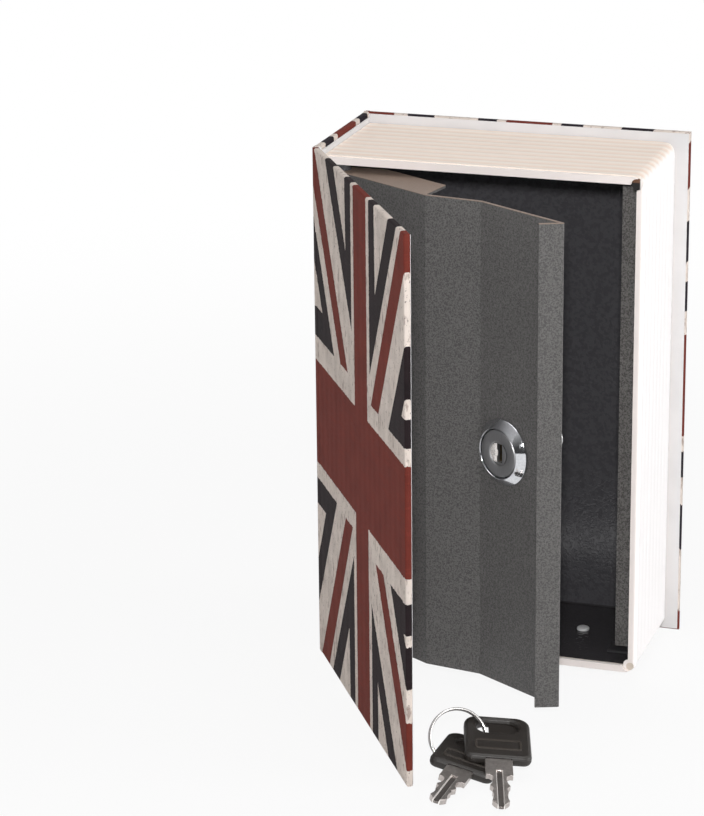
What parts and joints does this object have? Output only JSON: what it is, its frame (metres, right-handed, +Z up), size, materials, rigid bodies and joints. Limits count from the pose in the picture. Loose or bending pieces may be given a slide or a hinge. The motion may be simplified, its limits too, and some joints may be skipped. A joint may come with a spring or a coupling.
{
  "type": "book diversion safe",
  "caption": "Hard-cover book with a steel cash box in its page block; the cover and a hinged door with a keyed cam lock swing open, and keys on a split ring lie in front.",
  "frame": {"origin": "middle of the foot of the book's spine, halfway between the outer faces of the closed covers", "axes": "+Z up along the spine, +X from the spine to the fore-edge, +Y from the front cover to the back cover, so the open door and the front cover face -Y"},
  "size_m": [0.1154, 0.1758, 0.18],
  "materials": {
    "print": "printed linen cloth, worn flag pattern, matt",
    "board": "grey binder's board",
    "lining": "smooth off-white lining paper",
    "pages": "cream moulded plastic, ribbed like pages",
    "boxSteel": "dark grey hammertone paint",
    "doorSteel": "dark grey hammertone paint",
    "zinc": "zinc-plated steel",
    "chrome": "polished chrome",
    "satin": "satin nickel",
    "brass": "plain brass",
    "keySteel": "nickel-plated steel",
    "keyPlastic": "black moulded plastic"
  },
  "bodies": {
    "case": {"spine_and_back_wrap": "print", "spine_board": "board", "back_board": "board", "back_lining": "lining", "spine_lining": "lining", "page_block": "pages", "steel_box": "boxSteel", "floor_rivet_spine": "zinc", "roof_rivet_spine": "zinc", "floor_rivet_fore_edge": "zinc", "roof_rivet_fore_edge": "zinc", "strike_bracket": "boxSteel", "lower_hinge_pin": "zinc", "upper_hinge_pin": "zinc", "lower_hinge_washer": "zinc", "upper_hinge_washer": "zinc"},
    "front_cover": {"front_wrap": "print", "front_board": "board", "front_lining": "lining"},
    "door": {"door_panel": "doorSteel", "lock_bezel": "chrome", "lock_face_plate": "satin", "lock_barrel": "zinc", "toothed_washer": "zinc", "lock_nut": "zinc"},
    "plug_and_cam": {"lock_plug": "satin", "lock_wafer_1": "brass", "lock_wafer_2": "brass", "lock_wafer_3": "brass", "lock_wafer_4": "brass", "lock_wafer_5": "brass", "lock_cam": "zinc", "cam_screw": "zinc"},
    "ring": {"key_ring": "zinc"},
    "lower_key": {"lower_key_blade": "keySteel", "lower_key_head": "keyPlastic"},
    "upper_key": {"upper_key_blade": "keySteel", "upper_key_head": "keyPlastic"}
  },
  "joints": [
    {"name": "door_hinge", "type": "hinge", "parent": "case", "child": "door", "pos_m": [0.00747, -0.0212, 0.09], "axis": [0, 0, -1], "range_deg": [-31, 63]},
    {"name": "cover_hinge", "type": "hinge", "parent": "case", "child": "front_cover", "pos_m": [-0.00125, -0.028, 0.09], "axis": [0, 0, -1], "range_deg": [-57.4, 116.7]},
    {"name": "lock_turn", "type": "hinge", "parent": "door", "child": "plug_and_cam", "pos_m": [0.07271, -0.05543, 0.08955], "axis": [-0.515, -0.8572, 0], "range_deg": [0, 90]},
    {"name": "keys_slide", "type": "slide", "parent": "case", "child": "ring", "axis": [0.9397, 0.342, 0], "range_m": [-0.2016, 0.0993]},
    {"name": "lower_key_swing", "type": "hinge", "parent": "ring", "child": "lower_key", "pos_m": [0.0788, -0.10143, 0.00365], "axis": [0.2125, 0.0715, 0.9745], "range_deg": [0, 12]},
    {"name": "upper_key_swing", "type": "hinge", "parent": "ring", "child": "upper_key", "pos_m": [0.07844, -0.09718, 0.00981], "axis": [0, 0, 1], "range_deg": [0, 25]}
  ],
  "couplings": [
    {"joint": "cover_hinge", "follows": "door_hinge", "ratio": 1.8516},
    {"joint": "keys_slide", "follows": "door_hinge", "m_per_rad": -0.18335}
  ]
}
